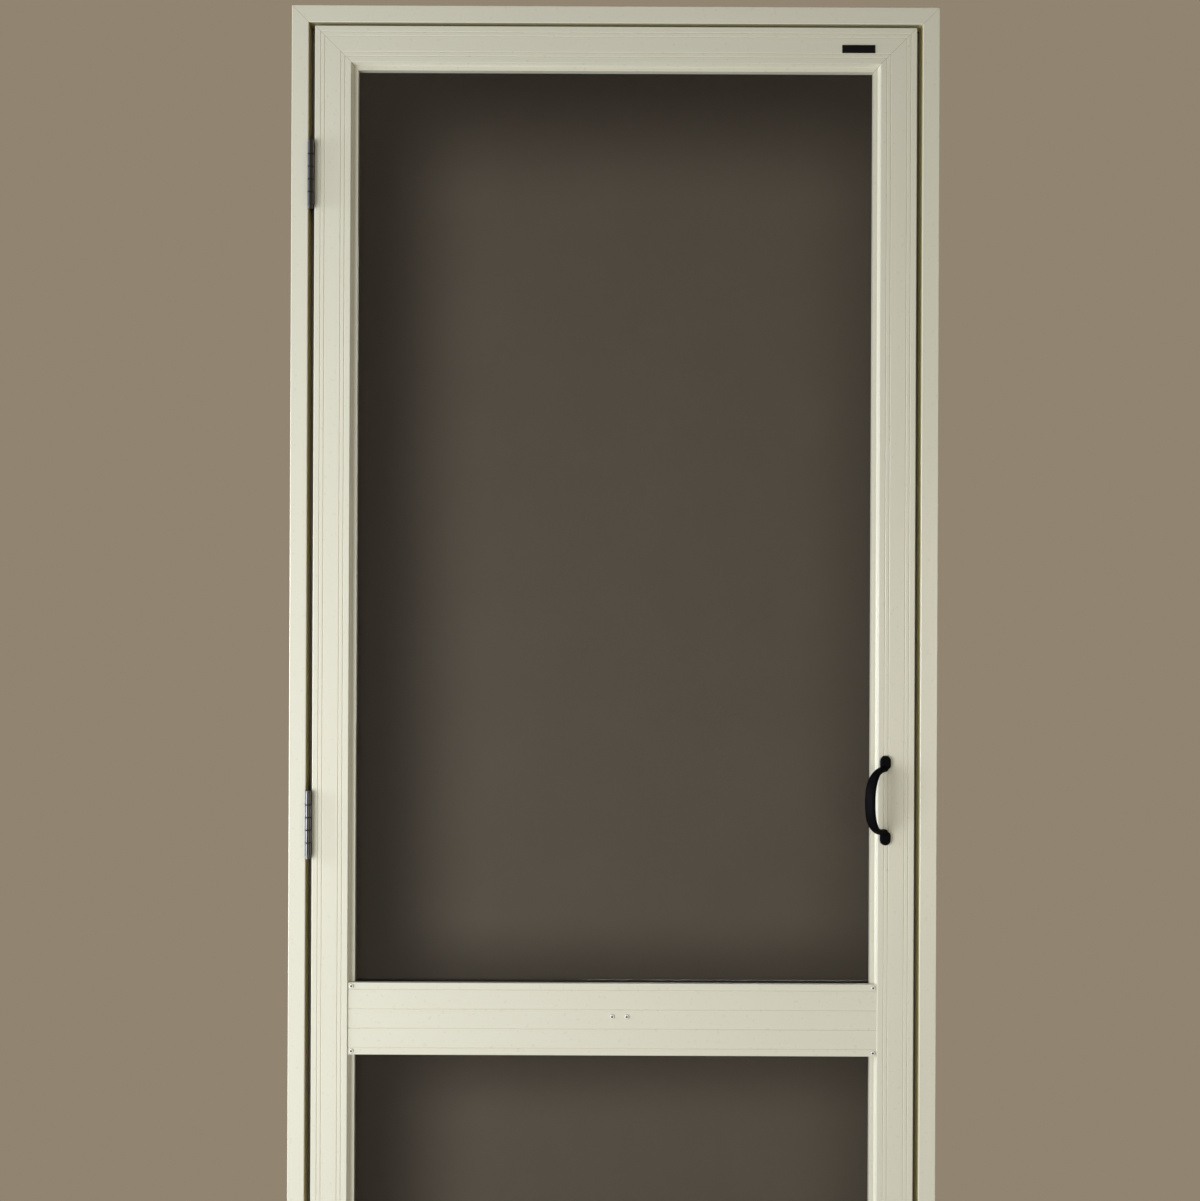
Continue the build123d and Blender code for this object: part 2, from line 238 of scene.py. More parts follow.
class DoorColours(bpy.types.PropertyGroup):
    """Colours of the finishes, as linear values."""

    paint: colour_property(
        "Paint", "Cream gloss paint on the sections", (0.73, 0.71, 0.575, 1.0)
    )
    enamel: colour_property(
        "Enamel", "Black enamel on the handle, hinges and plate", (0.003, 0.003, 0.0036, 1.0)
    )
    wire: colour_property(
        "Wire", "Charcoal coating on the screen's wire", (0.006, 0.0045, 0.003, 1.0)
    )
    pile: colour_property(
        "Pile", "Fibres of the pile seals and of the brush", (0.02, 0.019, 0.017, 1.0)
    )
    floor: colour_property(
        "Floor", "Plain pale floor", (0.62, 0.60, 0.56, 1.0)
    )
    backdrop: colour_property(
        "Backdrop", "Even colour that the camera sees behind the door", (0.283, 0.231, 0.165, 1.0)
    )


class Wire:
    """An output socket in an expression: each operation on it adds a Math node."""

    def __init__(self, book, socket):
        self.book = book
        self.socket = socket

    def math(self, operation, *others):
        sockets = dict(enumerate((self, *others)))
        return self.book.add("ShaderNodeMath", {"operation": operation}, sockets)

    def other(self, name):
        return Wire(self.book, self.socket.node.outputs[name])

    def __add__(self, value):
        return self.math("ADD", value)

    __radd__ = __add__

    def __sub__(self, value):
        return self.math("SUBTRACT", value)

    def __rsub__(self, value):
        return self.book.add("ShaderNodeMath", {"operation": "SUBTRACT"}, {0: value, 1: self})

    def __mul__(self, value):
        return self.math("MULTIPLY", value)

    def __truediv__(self, value):
        return self.math("DIVIDE", value)

    def __abs__(self):
        return self.math("ABSOLUTE")

    def below(self, edge, softness):
        """1 where the value is under the edge, falling smoothly to 0 over the softness."""
        return self.book.add(
            "ShaderNodeMapRange",
            {"interpolation_type": "SMOOTHSTEP"},
            {"Value": self, 1: edge, 2: edge + softness, 3: 1.0, 4: 0.0},
        )

    def least(self, value):
        return self.math("MINIMUM", value)

    def most(self, value):
        return self.math("MAXIMUM", value)


class Book:
    """Adds nodes to one tree: a type, its settings first, then the values or links of its sockets."""

    def __init__(self, tree):
        self.tree = tree

    def add(self, kind, settings=None, sockets=None, output=0):
        node = self.tree.nodes.new(kind)
        for name, value in (settings or {}).items():
            setattr(node, name, value)
        for key, value in (sockets or {}).items():
            self.connect(value, node.inputs[key])
        return Wire(self, node.outputs[output]) if node.outputs else None

    def connect(self, value, target):
        if isinstance(value, Wire):
            self.tree.links.new(value.socket, target)
        else:
            target.default_value = value

    def mix(self, factor, first, second):
        """Colour mix from the first to the second."""
        colours = {0: factor, 6: first, 7: second}
        return self.add("ShaderNodeMix", {"data_type": "RGBA"}, colours, output=2)

    def noise(self, vector, scale, detail):
        sockets = {"Vector": vector, "Scale": scale, "Detail": detail}
        return self.add("ShaderNodeTexNoise", None, sockets)

    def bump(self, height, distance, strength):
        sockets = {"Height": height, "Distance": distance, "Strength": strength}
        return self.add("ShaderNodeBump", None, sockets)


def new_material(name):
    """A material whose tree holds one Principled shader, with the book to add to it."""
    material = bpy.data.materials.new(name)
    material.use_nodes = True
    tree = material.node_tree
    shader = tree.nodes["Principled BSDF"]
    return material, Book(tree), shader


def set_constants(shader, **values):
    for name, value in values.items():
        shader.inputs[name.replace("_", " ")].default_value = value


def object_place(book):
    """Object coordinates of the point that is shaded."""
    return book.add("ShaderNodeTexCoord").other("Object")


def split(book, place):
    """X, Y and Z of a place."""
    x = book.add("ShaderNodeSeparateXYZ", None, {0: place})
    return x, x.other("Y"), x.other("Z")


def shade(colour, factor):
    return tuple(part * factor for part in colour[:3]) + (1.0,)


def seam_line(x, z, low, high, corners):
    """Mask of the hairline where mitred members meet at the corners of a box."""
    across = (x - low.x).least(high.x - x)
    down = high.z - z
    if corners == "four":
        down = down.least(z - low.z)
    return abs(across - down).below(edge=0.12 * MM, softness=0.16 * MM)


def reveal_light_and_shade(book, base, x, y, z, low, high):
    """Painted light and shade in the frame's reveal: olive, darkest at the hinges, and painted
    near-black shade beside the stop.
    """
    stop_front = high.y - low.y - STOP_DEPTH
    inside = (x - low.x).least(high.x - x).least(high.z - z)
    within = 1 - inside.below(edge=FRAME_FACE - 1.0 * MM, softness=0.8 * MM)
    depth = y - low.y
    within = within * depth.below(edge=stop_front - 1.0 * MM, softness=1.5 * MM)
    painted = 1 - depth.below(edge=1.0 * MM, softness=2.0 * MM)
    deep = 1 - depth.below(edge=stop_front - 6.0 * MM, softness=3.0 * MM)
    hinge_side = (x - low.x).below(edge=FRAME_FACE + 2.0 * MM, softness=4.0 * MM)
    latch_side = (high.x - x).below(edge=FRAME_FACE + 2.0 * MM, softness=4.0 * MM)
    # Olive painted shade in the reveal, darkest on the hinge side and lighter on the latch side, where
    # more light reaches
    reveal_shading = book.mix(hinge_side, HEAD_REVEAL_SHADE, HINGE_REVEAL_SHADE)
    reveal_shading = book.mix(latch_side, reveal_shading, LATCH_REVEAL_LIT)
    base = book.mix(within * painted, base, reveal_shading)
    # Painted near-black shade deep in the reveal beside the stop
    return book.mix(within * deep, base, REVEAL_DEEP_SHADE)


def paint_material(name, die_axis, low, high, corners):
    """Cream gloss paint over an extruded section: die lines along it, a hairline at the mitres and, on
    the frame, painted light and shade in the reveal.
    """
    material, book, shader = new_material(name)
    colour = tuple(bpy.context.scene.door_colours.paint)
    place = object_place(book)
    x, y, z = split(book, place)
    across = {"X": x, "Z": z}[die_axis]
    die_place = book.add("ShaderNodeCombineXYZ", None, {"X": across, "Y": y})
    die_lines = book.noise(die_place, scale=900.0, detail=3.0)
    long_waves = book.noise(place, scale=7.0, detail=2.0)
    orange_peel = book.noise(place, scale=520.0, detail=2.0)
    clouds = book.noise(place, scale=2.3, detail=4.0)
    specks = book.noise(place, scale=160.0, detail=3.0)
    base = book.mix(clouds * 0.6, shade(colour, 0.97), shade(colour, 1.03))
    base = book.mix(specks.below(edge=0.33, softness=0.03) * 0.22, base, shade(colour, 0.72))
    # On the frame, the reveal gets its painted light and shade
    if corners == "top":
        base = reveal_light_and_shade(book, base, x, y, z, low, high)
    if corners:
        seam = seam_line(x, z, low, high, corners)
        base = book.mix(seam * 0.85, base, shade(colour, 0.28))
    book.connect(base, shader.inputs["Base Color"])
    book.connect(specks * 0.10 + clouds * 0.06 + 0.13, shader.inputs["Roughness"])
    height = die_lines * 0.30 + orange_peel * 0.35 + long_waves * 6.0
    if corners:
        height = height - seam * 3.0
    book.connect(book.bump(height, distance=0.03 * MM, strength=0.55), shader.inputs["Normal"])
    set_constants(shader, Coat_Weight=0.35, Coat_Roughness=0.06, Specular_IOR_Level=0.55)
    return material


def knuckle_gap_shade(z):
    """Mask of the painted shade in the gaps between the knuckles of all the hinges."""
    joints = None
    for place in HINGES:
        low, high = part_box(f"hinge_{place}_frame_plate")
        pitch = (high.z - low.z) / KNUCKLES
        from_middle = abs(z - (low.z + high.z) / 2)
        joint = abs(abs(from_middle - pitch) - pitch / 2).below(edge=0.7 * MM, softness=0.5 * MM)
        joints = joint if joints is None else joints.most(joint)
    return joints


def barrel_highlight_side(x, y):
    """Mask of the outer side of the hinge barrels, where a grey highlight is painted on the enamel."""
    low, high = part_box("hinge_top_pin")
    outer = (x - (low.x + high.x) / 2).below(edge=-1.5 * MM, softness=1.2 * MM)
    return outer * (high.y - y).math("GREATER_THAN", -3.0 * MM)


def enamel_material(name, gloss, on_hinges=False):
    """Black enamel with faint ripple and dulled patches; on hinges, a painted grey highlight on the
    barrels and painted shade in the gaps between the knuckles.
    """
    material, book, shader = new_material(name)
    colour = tuple(bpy.context.scene.door_colours.enamel)
    place = object_place(book)
    ripple = book.noise(place, scale=260.0, detail=2.0)
    handled = book.noise(place, scale=45.0, detail=4.0)
    rough = handled * 0.2 + 0.24
    base = book.mix(handled, colour, shade(colour, 2.0))
    if on_hinges:
        x, y, z = split(book, place)
        joints = knuckle_gap_shade(z)
        # Painted grey highlight on the outer side of the barrels
        barrel_highlight = barrel_highlight_side(x, y) * (0.6 + handled * 0.5)
        base = book.mix(barrel_highlight, base, HINGE_BARREL_HIGHLIGHT)
        # Painted shade in the gaps between the knuckles, where the coat's gloss is taken away too
        base = book.mix(joints, base, shade(colour, 0.3))
        rough = rough + joints * 0.5
        book.connect((1 - joints) * gloss, shader.inputs["Coat Weight"])
    else:
        set_constants(shader, Coat_Weight=gloss)
    book.connect(base, shader.inputs["Base Color"])
    book.connect(rough, shader.inputs["Roughness"])
    book.connect(book.bump(ripple, distance=0.05 * MM, strength=0.5), shader.inputs["Normal"])
    set_constants(shader, Specular_IOR_Level=0.01 + 0.49 * gloss, Coat_Roughness=0.08)
    return material


def screen_light_mask(x, z):
    """Mask of the painted light on the screen's wires: least, as painted shade of the frame and the
    rail, at the left, at the top and beside the middle rail.
    """
    low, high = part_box("insect_screen")
    rail_low, rail_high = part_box("mid_rail_front")
    left = (x - low.x).below(edge=20 * MM, softness=170 * MM)
    right = (high.x - x).below(edge=-40 * MM, softness=160 * MM)
    top = (high.z - z).below(edge=0.0, softness=200 * MM)
    bottom = (z - low.z).below(edge=-20 * MM, softness=120 * MM)
    rail = abs(z - (rail_low.z + rail_high.z) / 2).below(edge=50 * MM, softness=100 * MM)
    return (1 - left) * (1 - right * 0.6) * (1 - top) * (1 - bottom * 0.8) * (1 - rail * 0.6)


def wire_material(name):
    """Charcoal coating on woven wire, with painted light away from the edges of the screen and painted
    shade near them.
    """
    material, book, shader = new_material(name)
    colour = tuple(bpy.context.scene.door_colours.wire)
    place = object_place(book)
    x, _, z = split(book, place)
    # Painted light in the middle of the screen, painted shade near its edges and beside the middle rail
    screen_light = screen_light_mask(x, z)
    patches = book.noise(place, scale=9.0, detail=4.0)
    slubs = book.noise(place, scale=700.0, detail=2.0)
    lit_wire = book.mix(patches, SCREEN_LIGHT_DIM, SCREEN_LIGHT_BRIGHT)
    base = book.mix(screen_light, colour, lit_wire)
    base = book.mix(slubs * 0.5, base, shade(colour, 0.6))
    book.connect(base, shader.inputs["Base Color"])
    book.connect(slubs * 0.3 + 0.5, shader.inputs["Roughness"])
    set_constants(shader, Specular_IOR_Level=0.08)
    return material


def fibre_material(name):
    """Dark fibres of pile and brush."""
    material, book, shader = new_material(name)
    colour = tuple(bpy.context.scene.door_colours.pile)
    place = object_place(book)
    strands = book.noise(place, scale=1300.0, detail=2.0)
    base = book.mix(strands, shade(colour, 0.5), shade(colour, 2.2))
    book.connect(base, shader.inputs["Base Color"])
    book.connect(book.bump(strands, distance=0.2 * MM, strength=0.8), shader.inputs["Normal"])
    set_constants(shader, Roughness=0.85, Sheen_Weight=0.3)
    return material


def rubber_material(name):
    """Grey-black rubber cord with its fine ribs."""
    material, book, shader = new_material(name)
    place = object_place(book)
    ribs = book.add(
        "ShaderNodeTexWave",
        {"wave_type": "BANDS", "bands_direction": "DIAGONAL"},
        {"Vector": place, "Scale": 160.0, "Distortion": 0.6},
        output=1,
    )
    bloom = book.noise(place, scale=60.0, detail=4.0)
    base = book.mix(bloom, RUBBER, RUBBER_BLOOM)
    book.connect(base, shader.inputs["Base Color"])
    book.connect(book.bump(ribs, distance=0.12 * MM, strength=0.6), shader.inputs["Normal"])
    set_constants(shader, Roughness=0.7)
    return material


def screw_material(name, colour):
    """A screw head with painted shade in its recess and round the foot of its rim, by the recess
    attribute of its mesh.
    """
    material, book, shader = new_material(name)
    place = object_place(book)
    recess = book.add("ShaderNodeAttribute", {"attribute_name": "recess"}, output=2)
    wear = book.noise(place, scale=900.0, detail=3.0)
    base = book.mix(wear, shade(colour, 0.8), shade(colour, 1.1))
    # Painted shade in the cross recess and a painted shadow line round the foot of the head
    base = book.mix(recess * 0.97, base, RECESS_SHADE)
    book.connect(base, shader.inputs["Base Color"])
    book.connect(wear * 0.2 + 0.22, shader.inputs["Roughness"])
    return material


def dress(node, material):
    """Give a node of the frame its finish."""
    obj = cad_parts[node]
    obj.data.materials.clear()
    obj.data.materials.append(material)


def add_piece(name, mesh, body, material=None):
    """Link a finished mesh as a piece that rides on a body."""
    piece = bpy.data.objects.new(name, mesh)
    bpy.context.scene.collection.objects.link(piece)
    if material is not None:
        mesh.materials.clear()
        mesh.materials.append(material)
    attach(piece, body)
    return piece


def new_tree(name, inputs):
    """A geometry tree with named inputs, its book, and a wire for each input."""
    tree = bpy.data.node_groups.new(name, "GeometryNodeTree")
    tree.interface.new_socket("Geometry", in_out="OUTPUT", socket_type="NodeSocketGeometry")
    for label, kind in inputs.items():
        tree.interface.new_socket(label, in_out="INPUT", socket_type=kind)
    book = Book(tree)
    source = book.add("NodeGroupInput")
    return tree, book, {label: source.other(label) for label in inputs}


def close_tree(book, geometry, material):
    """Realize the instances, give them their material and end the tree."""
    solid = book.add("GeometryNodeRealizeInstances", None, {0: geometry})
    painted = book.add("GeometryNodeSetMaterial", None, {"Geometry": solid, "Material": material})
    book.add("NodeGroupOutput", None, {0: painted})


def run_tree(tree, values, points=None):
    """Evaluate a tree once with these values and return the result as a plain mesh."""
    mesh = points or bpy.data.meshes.new("seed points")
    source = bpy.data.objects.new("seed", mesh)
    bpy.context.scene.collection.objects.link(source)
    modifier = source.modifiers.new("nodes", "NODES")
    modifier.node_group = tree
    for item in tree.interface.items_tree:
        if item.in_out == "INPUT" and item.name in values:
            modifier[item.identifier] = values[item.name]
    graph = bpy.context.evaluated_depsgraph_get()
    result = bpy.data.meshes.new_from_object(source.evaluated_get(graph), depsgraph=graph)
    bpy.data.objects.remove(source)
    if len(result.polygons) == 0:
        raise RuntimeError(f"{tree.name} made no faces")
    return result


def facing(z_dir, x_dir):
    """Euler angles that turn local Z to one direction and local X to another."""
    y_dir = z_dir.cross(x_dir)
    return Matrix((x_dir, y_dir, z_dir)).transposed().to_euler()


class DOOR_OT_paint(bpy.types.Operator):
    """Paint the extruded sections of the frame and the leaf"""

    bl_idname = "door.paint"
    bl_label = "Paint sections"

    def execute(self, context):
        frame_low, frame_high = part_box("frame_head")
        leaf_low, leaf_high = leaf_box()
        finishes = {
            "frame upright": ("X", frame_low, frame_high, "top"),
            "frame level": ("Z", frame_low, frame_high, "top"),
            "leaf upright": ("X", leaf_low, leaf_high, "four"),
            "leaf level": ("Z", leaf_low, leaf_high, "four"),
            "rail level": ("Z", leaf_low, leaf_high, None),
        }
        paints = {name: paint_material(f"cream paint {name}", *f) for name, f in finishes.items()}
        for node in UPRIGHT_PAINTED:
            dress(node, paints["frame upright" if node.startswith("frame") else "leaf upright"])
        for node in LEVEL_PAINTED:
            kind = node.split("_")[0]
            dress(node, paints[f"{kind} level" if kind in ("frame", "leaf") else "rail level"])
        return {"FINISHED"}


def leaf_box():
    """Lowest and highest corners of the leaf's outline."""
    low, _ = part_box("leaf_hinge_stile")
    _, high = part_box("leaf_latch_stile")
    return low, high


class DOOR_OT_hinges(bpy.types.Operator):
    """Enamel the plates and pins of the three hinges"""

    bl_idname = "door.hinges"
    bl_label = "Hinges"

    def execute(self, context):
        enamel = enamel_material("black enamel hinges", gloss=1.0, on_hinges=True)
        for place in HINGES:
            for part in ("frame_plate", "leaf_plate", "pin"):
                dress(f"hinge_{place}_{part}", enamel)
        return {"FINISHED"}


class DOOR_OT_woven_screen(bpy.types.Operator):
    """Weave the insect screen from two layers of coated wire"""

    bl_idname = "door.woven_screen"
    bl_label = "Woven screen"

    def execute(self, context):
        sizes = context.scene.door_sizes
        low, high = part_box("insect_screen")
        middle = (low + high) / 2
        values = {
            "Width": high.x - low.x,
            "Height": high.z - low.z,
            "Pitch": sizes.wire_pitch,
            "Wire width": sizes.wire_width,
            "Wire depth": sizes.wire_depth,
            "Centre": Vector((middle.x, high.y - sizes.wire_depth, middle.z)),
            "Material": wire_material("charcoal wire"),
        }
        mesh = run_tree(woven_tree(), values)
        screen = add_piece("woven_insect_screen", mesh, LEAF_BODY)
        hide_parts("insect_screen")
        return {"FINISHED"}


def woven_tree():
    """Tree of the screen: a row of upright wires in front of a stack of level ones."""
    tree, book, get = new_tree(
        "woven wire",
        {
            "Width": "NodeSocketFloat",
            "Height": "NodeSocketFloat",
            "Pitch": "NodeSocketFloat",
            "Wire width": "NodeSocketFloat",
            "Wire depth": "NodeSocketFloat",
            "Centre": "NodeSocketVector",
            "Material": "NodeSocketMaterial",
        },
    )
    layers = []
    for span, run, axis, side, turn in (
        ("Width", "Height", "X", -0.5, (0.0, 0.0, 0.0)),
        ("Height", "Width", "Z", 0.5, (0.0, math.pi / 2, 0.0)),
    ):
        count = (get[span] / get["Pitch"]).math("FLOOR")
        used = (count - 1) * get["Pitch"]
        start = {"Y": get["Wire depth"] * side, axis: used * -0.5}
        first = book.add("ShaderNodeCombineXYZ", None, start)
        step = book.add("ShaderNodeCombineXYZ", None, {axis: get["Pitch"]})
        row = book.add(
            "GeometryNodeMeshLine",
            {"mode": "OFFSET"},
            {"Count": count, "Start Location": first, "Offset": step},
        )
        wire = book.add(
            "GeometryNodeMeshCylinder",
            {"fill_type": "NGON"},
            {"Vertices": 6, "Radius": 1.0, "Depth": get[run]},
        )
        width = get["Wire width"] * 0.5
        depth = get["Wire depth"] * 0.5
        scale = book.add("ShaderNodeCombineXYZ", None, {"X": width, "Y": depth, "Z": 1.0})
        slim = book.add("GeometryNodeTransform", None, {"Geometry": wire, "Scale": scale})
        turned = book.add("GeometryNodeTransform", None, {"Geometry": slim, "Rotation": turn})
        layers.append(
            book.add("GeometryNodeInstanceOnPoints", None, {"Points": row, "Instance": turned})
        )
    both = book.add("GeometryNodeJoinGeometry")
    for layer in layers:
        book.tree.links.new(layer.socket, both.socket.node.inputs[0])
    placed_screen = book.add(
        "GeometryNodeTransform", None, {"Geometry": both, "Translation": get["Centre"]}
    )
    close_tree(book, placed_screen, get["Material"])
    return tree


def super_ring(centre, across, through, half_width, half_depth, power, count=28):
    """Points of a soft-cornered ring round a centre, in the plane of two directions."""
    ring = []
    for step in range(count):
        angle = 2 * math.pi * step / count
        c, s = math.cos(angle), math.sin(angle)
        u = math.copysign(abs(c) ** (2 / power), c) * half_width
        v = math.copysign(abs(s) ** (2 / power), s) * half_depth
        ring.append(centre + across * u + through * v)
    return ring


def add_tube(bm, rings):
    """A closed body through a list of equal rings, with flat ends."""
    loops = [[bm.verts.new(point) for point in ring] for ring in rings]
    for lower, upper in zip(loops, loops[1:]):
        for i, vert in enumerate(lower):
            j = (i + 1) % len(lower)
            bm.faces.new((vert, lower[j], upper[j], upper[i]))
    bm.faces.new(list(reversed(loops[0])))
    bm.faces.new(loops[-1])


def foot_outline(width, length, corner):
    """Outline of a foot from its round outer end: (x, distance from the tip)."""
    half = width / 2
    outline = []
    for step in range(17):
        angle = math.pi * step / 16
        outline.append((half * math.cos(angle), half - half * math.sin(angle)))
    for side in (-1, 1):
        for step in range(5):
            angle = math.pi / 2 * (step if side < 0 else 4 - step) / 4
            reach = half - corner + corner * math.cos(angle)
            outline.append((side * reach, length - corner + corner * math.sin(angle)))
    return outline


class DOOR_OT_pull_handle(bpy.types.Operator):
    """Cast the pull handle: two domed feet and a bow that swells from neck to grip"""

    bl_idname = "door.pull_handle"
    bl_label = "Pull handle"

    def execute(self, context):
        low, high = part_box("pull_handle")
        bm = bmesh.new()
        foot_x = high.x - FOOT_WIDTH / 2
        middle = (low.z + high.z) / 2
        for end in (1, -1):
            tip = Vector((foot_x, high.y, middle + end * (high.z - low.z) / 2))
            add_foot(bm, tip, end)
        add_bow(bm, Vector((foot_x, high.y, middle)))
        bmesh.ops.recalc_face_normals(bm, faces=bm.faces)
        mesh = bpy.data.meshes.new("cast_handle")
        bm.to_mesh(mesh)
        bm.free()
        enamel = enamel_material("black enamel handle", gloss=0.0)
        values = {"Voxel": HANDLE_VOXEL, "Passes": HANDLE_PASSES, "Material": enamel}
        mesh = run_tree(smooth_casting_tree(), values, mesh)
        handle = add_piece("cast_pull_handle", mesh, LEAF_BODY)
        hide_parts("pull_handle")
        return {"FINISHED"}


def add_foot(bm, tip, end):
    """A domed foot from its tip inwards: end is 1 for the upper and -1 for the lower."""
    centre = FOOT_LENGTH * 0.45
    rings = []
    for share, inset in DOME:
        ring = []
        for x, fall in foot_outline(FOOT_WIDTH, FOOT_LENGTH, FOOT_CORNER):
            fall = centre + (fall - centre) * (1 - inset)
            ring.append(tip + Vector((x * (1 - inset), -FOOT_DEPTH * share, -end * fall)))
        rings.append(ring if end > 0 else ring[::-1])
    add_tube(bm, rings)


def add_bow(bm, foot):
    """The bow on a superellipse that leans out from the feet towards the screen."""
    reach = BOW_LEAN.length
    outward = BOW_LEAN.normalized()
    across = outward.cross(UP)
    steps = 72
    places = []
    for step in range(steps + 1):
        angle = math.pi * step / steps
        c = math.cos(angle)
        out = reach * math.sin(angle) ** (2 / BOW_ROUNDNESS)
        rise = BOW_HALF_SPAN * math.copysign(abs(c) ** (2 / BOW_ROUNDNESS), c)
        places.append(foot + outward * out + UP * rise)
    rings = []
    for step, place in enumerate(places):
        before = places[max(step - 1, 0)]
        after = places[min(step + 1, steps)]
        along = (after - before).normalized()
        share = (place - foot).dot(outward) / reach
        swell = min(max((share - SWELL_FROM) / SWELL_OVER, 0.0), 1.0)
        width = NECK_WIDTH + (GRIP_WIDTH - NECK_WIDTH) * swell * swell * (3 - 2 * swell)
        through = across.cross(along)
        rings.append(super_ring(place, across, through, width / 2, BOW_DEPTH / 2, power=2.5))
    add_tube(bm, rings)


def smooth_casting_tree():
    """Tree that fuses overlapping bodies into one skin and rounds it."""
    tree, book, get = new_tree(
        "one casting",
        {
            "Bodies": "NodeSocketGeometry",
            "Voxel": "NodeSocketFloat",
            "Passes": "NodeSocketInt",
            "Material": "NodeSocketMaterial",
        },
    )
    volume = book.add(
        "GeometryNodeMeshToVolume",
        {"resolution_mode": "VOXEL_SIZE"},
        {"Mesh": get["Bodies"], "Voxel Size": get["Voxel"], "Interior Band Width": 1.5 * MM},
    )
    skin = book.add("GeometryNodeVolumeToMesh", None, {"Volume": volume})
    place = book.add("GeometryNodeInputPosition")
    soft = book.add(
        "GeometryNodeBlurAttribute",
        {"data_type": "FLOAT_VECTOR"},
        {"Value": place, "Iterations": get["Passes"]},
    )
    rounded = book.add("GeometryNodeSetPosition", None, {"Geometry": skin, "Position": soft})
    shaded = book.add("GeometryNodeSetShadeSmooth", None, {0: rounded})
    close_tree(book, shaded, get["Material"])
    return tree


def screw_head(radius, height):
    """A screw head on Z with a rounded rim and a cross recess; the recess and the foot of the rim are
    marked for painted shade in its recess attribute.
    """
    sides = 24
    profile = ((1.07, 0.0), (1.07, 0.1), (1.0, 0.11), (1.0, 0.4), (0.94, 0.75), (0.8, 1.0))
    arm, wide, depth = radius * 0.44, radius * 0.28, min(height * 0.8, radius * 0.3)
    bm = bmesh.new()
    recess = bm.faces.layers.float.new("recess")
    rings = []
    for share, rise in profile:
        ring = []
        for step in range(sides):
            angle = 2 * math.pi * step / sides
            spot = (radius * share * math.cos(angle), radius * share * math.sin(angle), height * rise)
            ring.append(bm.verts.new(spot))
        rings.append(ring)
    for lower, upper in zip(rings, rings[1:]):
        for i, vert in enumerate(lower):
            j = (i + 1) % sides
            face = bm.faces.new((vert, lower[j], upper[j], upper[i]))
            # The foot of the rim is marked for a painted shadow line round the head
            face[recess] = 1.0 if lower in rings[:2] else 0.0
    bm.faces.new(list(reversed(rings[0])))
    corners = [(arm, -wide), (arm, wide), (wide, wide), (wide, arm), (-wide, arm), (-wide, wide)]
    corners += [(-x, -y) for x, y in corners]
    brim = [bm.verts.new((x, y, height)) for x, y in corners]
    bed = [bm.verts.new((x * 0.75, y * 0.75, height - depth)) for x, y in corners]
    edges = []
    for loop in (rings[-1], brim):
        for i, vert in enumerate(loop):
            after = loop[(i + 1) % len(loop)]
            edges.append(bm.edges.get((vert, after)) or bm.edges.new((vert, after)))
    bmesh.ops.triangle_fill(bm, edges=edges, use_beauty=True)
    # The cross recess is marked for painted shade
    for i, vert in enumerate(brim):
        j = (i + 1) % len(brim)
        bm.faces.new((vert, bed[i], bed[j], brim[j]))[recess] = 1.0
    bm.faces.new(bed)[recess] = 1.0
    bmesh.ops.recalc_face_normals(bm, faces=bm.faces)
    mesh = bpy.data.meshes.new("screw_head")
    bm.to_mesh(mesh)
    bm.free()
    return bpy.data.objects.new("screw_head", mesh)


def tuft(length, spread, fibres=6):
    """A small bunch of tapering fibres on Z that lean outwards."""
    bm = bmesh.new()
    thick = length * 0.09
    for fibre in range(fibres):
        angle = 2 * math.pi * fibre / fibres
        lean = spread * (0.35 + 0.65 * (fibre % 3) / 2)
        outward = Vector((math.cos(angle), math.sin(angle), 0))
        foot = outward * spread * 0.4
        tip = outward * lean + UP * length * (1 - 0.09 * (fibre % 2))
        base = []
        for side in range(3):
            turn = angle + 2 * math.pi * side / 3
            base.append(bm.verts.new(foot + Vector((math.cos(turn), math.sin(turn), 0)) * thick))
        top = bm.verts.new(tip)
        for side in range(3):
            bm.faces.new((base[side], base[(side + 1) % 3], top))
        bm.faces.new(base[::-1])
    mesh = bpy.data.meshes.new("tuft")
    bm.to_mesh(mesh)
    bm.free()
    return bpy.data.objects.new("tuft", mesh)


def scatter_tree():
    """Tree that sets one shape on every point, turned one way and spun at random about its axis."""
    tree, book, get = new_tree(
        "set on points",
        {
            "Points": "NodeSocketGeometry",
            "Shape": "NodeSocketObject",
            "Turn": "NodeSocketVector",
            "Smallest": "NodeSocketFloat",
            "Seed": "NodeSocketInt",
            "Material": "NodeSocketMaterial",
        },
    )
    shape = book.add("GeometryNodeObjectInfo", None, {"Object": get["Shape"]}, output="Geometry")
    turn = book.add("FunctionNodeEulerToRotation", None, {0: get["Turn"]})
    size = book.add(
        "FunctionNodeRandomValue",
        {"data_type": "FLOAT"},
        {2: get["Smallest"], 3: 1.0, "Seed": get["Seed"]},
        output=1,
    )
    placed_shapes = book.add(
        "GeometryNodeInstanceOnPoints",
        None,
        {"Points": get["Points"], "Instance": shape, "Rotation": turn, "Scale": size},
    )
    angle = book.add(
        "FunctionNodeRandomValue",
        {"data_type": "FLOAT"},
        {2: 0.0, 3: 2 * math.pi, "Seed": get["Seed"] + 1},
        output=1,
    )
    euler = book.add("ShaderNodeCombineXYZ", None, {"Z": angle})
    spin = book.add("FunctionNodeEulerToRotation", None, {0: euler})
    spun = book.add(
        "GeometryNodeRotateInstances",
        None,
        {"Instances": placed_shapes, "Rotation": spin, "Local Space": True},
    )
    close_tree(book, spun, get["Material"])
    return tree


